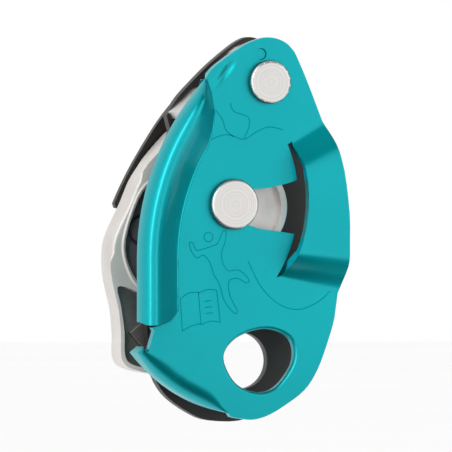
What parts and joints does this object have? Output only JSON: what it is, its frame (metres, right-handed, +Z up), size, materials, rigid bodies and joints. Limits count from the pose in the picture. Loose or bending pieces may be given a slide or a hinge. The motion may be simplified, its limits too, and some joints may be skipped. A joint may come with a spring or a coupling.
{
  "type": "rope descender",
  "caption": "Cam-type rope descender with a swing-open front side plate, a sprung grooved cam and a folding lever.",
  "frame": {"origin": "centre of the attachment hole in the fixed side plate, at mid thickness", "axes": "+Z up through the top rivet, the front side plate looks along -Y, +X to the right seen from the front"},
  "size_m": [0.0605, 0.0378, 0.1017],
  "materials": {
    "turquoise_anodised": "satin turquoise anodising on pressed sheet",
    "dark_plate": "satin black-brown coating",
    "satin_steel": "turned satin heads",
    "plain_steel": "plain turned or stamped steel",
    "spring_steel": "drawn wire",
    "cast_steel": "fine blasted casting",
    "satin_alloy": "tumbled casting with polished edges",
    "bronze": "plain bearing bronze",
    "grey_moulding": "fine grained moulding",
    "black_moulding": "satin moulding"
  },
  "bodies": {
    "body": {"fixed_side_plate": "dark_plate", "plate_rivet": "satin_steel", "rivet_sleeve": "plain_steel", "plate_wave_washer": "plain_steel", "top_spacer": "satin_alloy", "spacer_pins": "plain_steel", "friction_block": "plain_steel", "friction_block_screws": "plain_steel", "cam_bush": "bronze", "spring_anchor_pin": "plain_steel", "cam_stop_pin": "plain_steel", "thrust_washer": "bronze", "rear_cover": "black_moulding", "cover_screws": "plain_steel"},
    "front_plate": {"moving_side_plate": "turquoise_anodised"},
    "cam_unit": {"cam": "cast_steel", "cam_axle": "satin_steel", "cam_return_spring": "spring_steel", "crank_arm": "cast_steel", "nut_washer": "plain_steel", "axle_nut": "plain_steel", "lever_pivot_pin": "satin_steel", "lever_washer": "plain_steel", "pivot_clip": "spring_steel"},
    "lever": {"lever_frame": "satin_alloy", "lever_insert": "grey_moulding", "insert_badge": "grey_moulding", "insert_screws": "plain_steel", "lever_bush": "bronze", "lever_spring": "spring_steel"}
  },
  "joints": [
    {"name": "side_plate_swing", "type": "hinge", "parent": "body", "child": "front_plate", "pos_m": [0.0026, -0.01475, 0.0735], "axis": [0, 1, 0], "range_deg": [0, 100]},
    {"name": "cam_pivot", "type": "hinge", "parent": "body", "child": "cam_unit", "pos_m": [-0.0074, 0, 0.0413], "axis": [0, 1, 0], "range_deg": [0, 30], "stiffness_Nm_per_rad": 0.05, "springref_deg": -40.11},
    {"name": "lever_unfold", "type": "hinge", "parent": "cam_unit", "child": "lever", "pos_m": [-0.0122, 0.008, 0.0549], "axis": [0, 1, 0], "range_deg": [0, 110], "stiffness_Nm_per_rad": 0.004, "springref_deg": -45.84}
  ]
}
